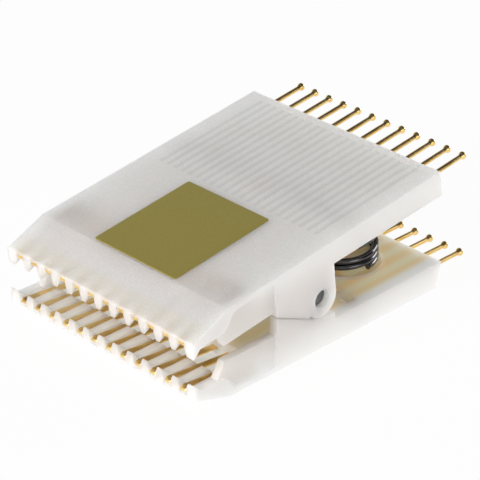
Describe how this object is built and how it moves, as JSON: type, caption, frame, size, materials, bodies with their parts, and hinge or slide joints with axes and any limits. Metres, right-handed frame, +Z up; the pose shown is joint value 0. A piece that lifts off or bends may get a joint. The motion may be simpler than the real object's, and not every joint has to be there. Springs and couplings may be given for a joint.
{
  "type": "dual-in-line test clip",
  "caption": "Spring test clip for dual-in-line chips: two hinged moulded halves with comb jaws, rows of gold contacts with headed posts, coil springs between the tails and a foil label.",
  "frame": {"origin": "centre of the bounding box on the plane the clip lies on", "axes": "+Z up from the lower half's outer face, +X along the contact rows, +Y from the jaws to the posts"},
  "size_m": [0.0322, 0.0512, 0.0171],
  "materials": {
    "shell": "translucent off-white moulded plastic with a fine grain",
    "gold": "polished gold plating",
    "pin_steel": "dark oiled steel",
    "spring_steel": "dark polished spring wire",
    "foil": "satin olive-gold foil, left bare"
  },
  "bodies": {
    "lower_half": {"lower_shell": "shell", "lower_contact_01": "gold", "lower_contact_02": "gold", "lower_contact_03": "gold", "lower_contact_04": "gold", "lower_contact_05": "gold", "lower_contact_06": "gold", "lower_contact_07": "gold", "lower_contact_08": "gold", "lower_contact_09": "gold", "lower_contact_10": "gold", "lower_contact_11": "gold", "lower_contact_12": "gold", "hinge_pin": "pin_steel", "spring_left": "spring_steel", "spring_right": "spring_steel"},
    "upper_half": {"upper_shell": "shell", "upper_contact_01": "gold", "upper_contact_02": "gold", "upper_contact_03": "gold", "upper_contact_04": "gold", "upper_contact_05": "gold", "upper_contact_06": "gold", "upper_contact_07": "gold", "upper_contact_08": "gold", "upper_contact_09": "gold", "upper_contact_10": "gold", "upper_contact_11": "gold", "upper_contact_12": "gold", "label": "foil"}
  },
  "joints": [
    {"name": "jaw_hinge", "type": "hinge", "parent": "lower_half", "child": "upper_half", "pos_m": [0, -0.00357, 0.00715], "axis": [-1, 0, 0], "range_deg": [0, 10], "stiffness_Nm_per_rad": 0.2, "springref_deg": -1.72, "deforming": ["spring_left", "spring_right"]}
  ]
}
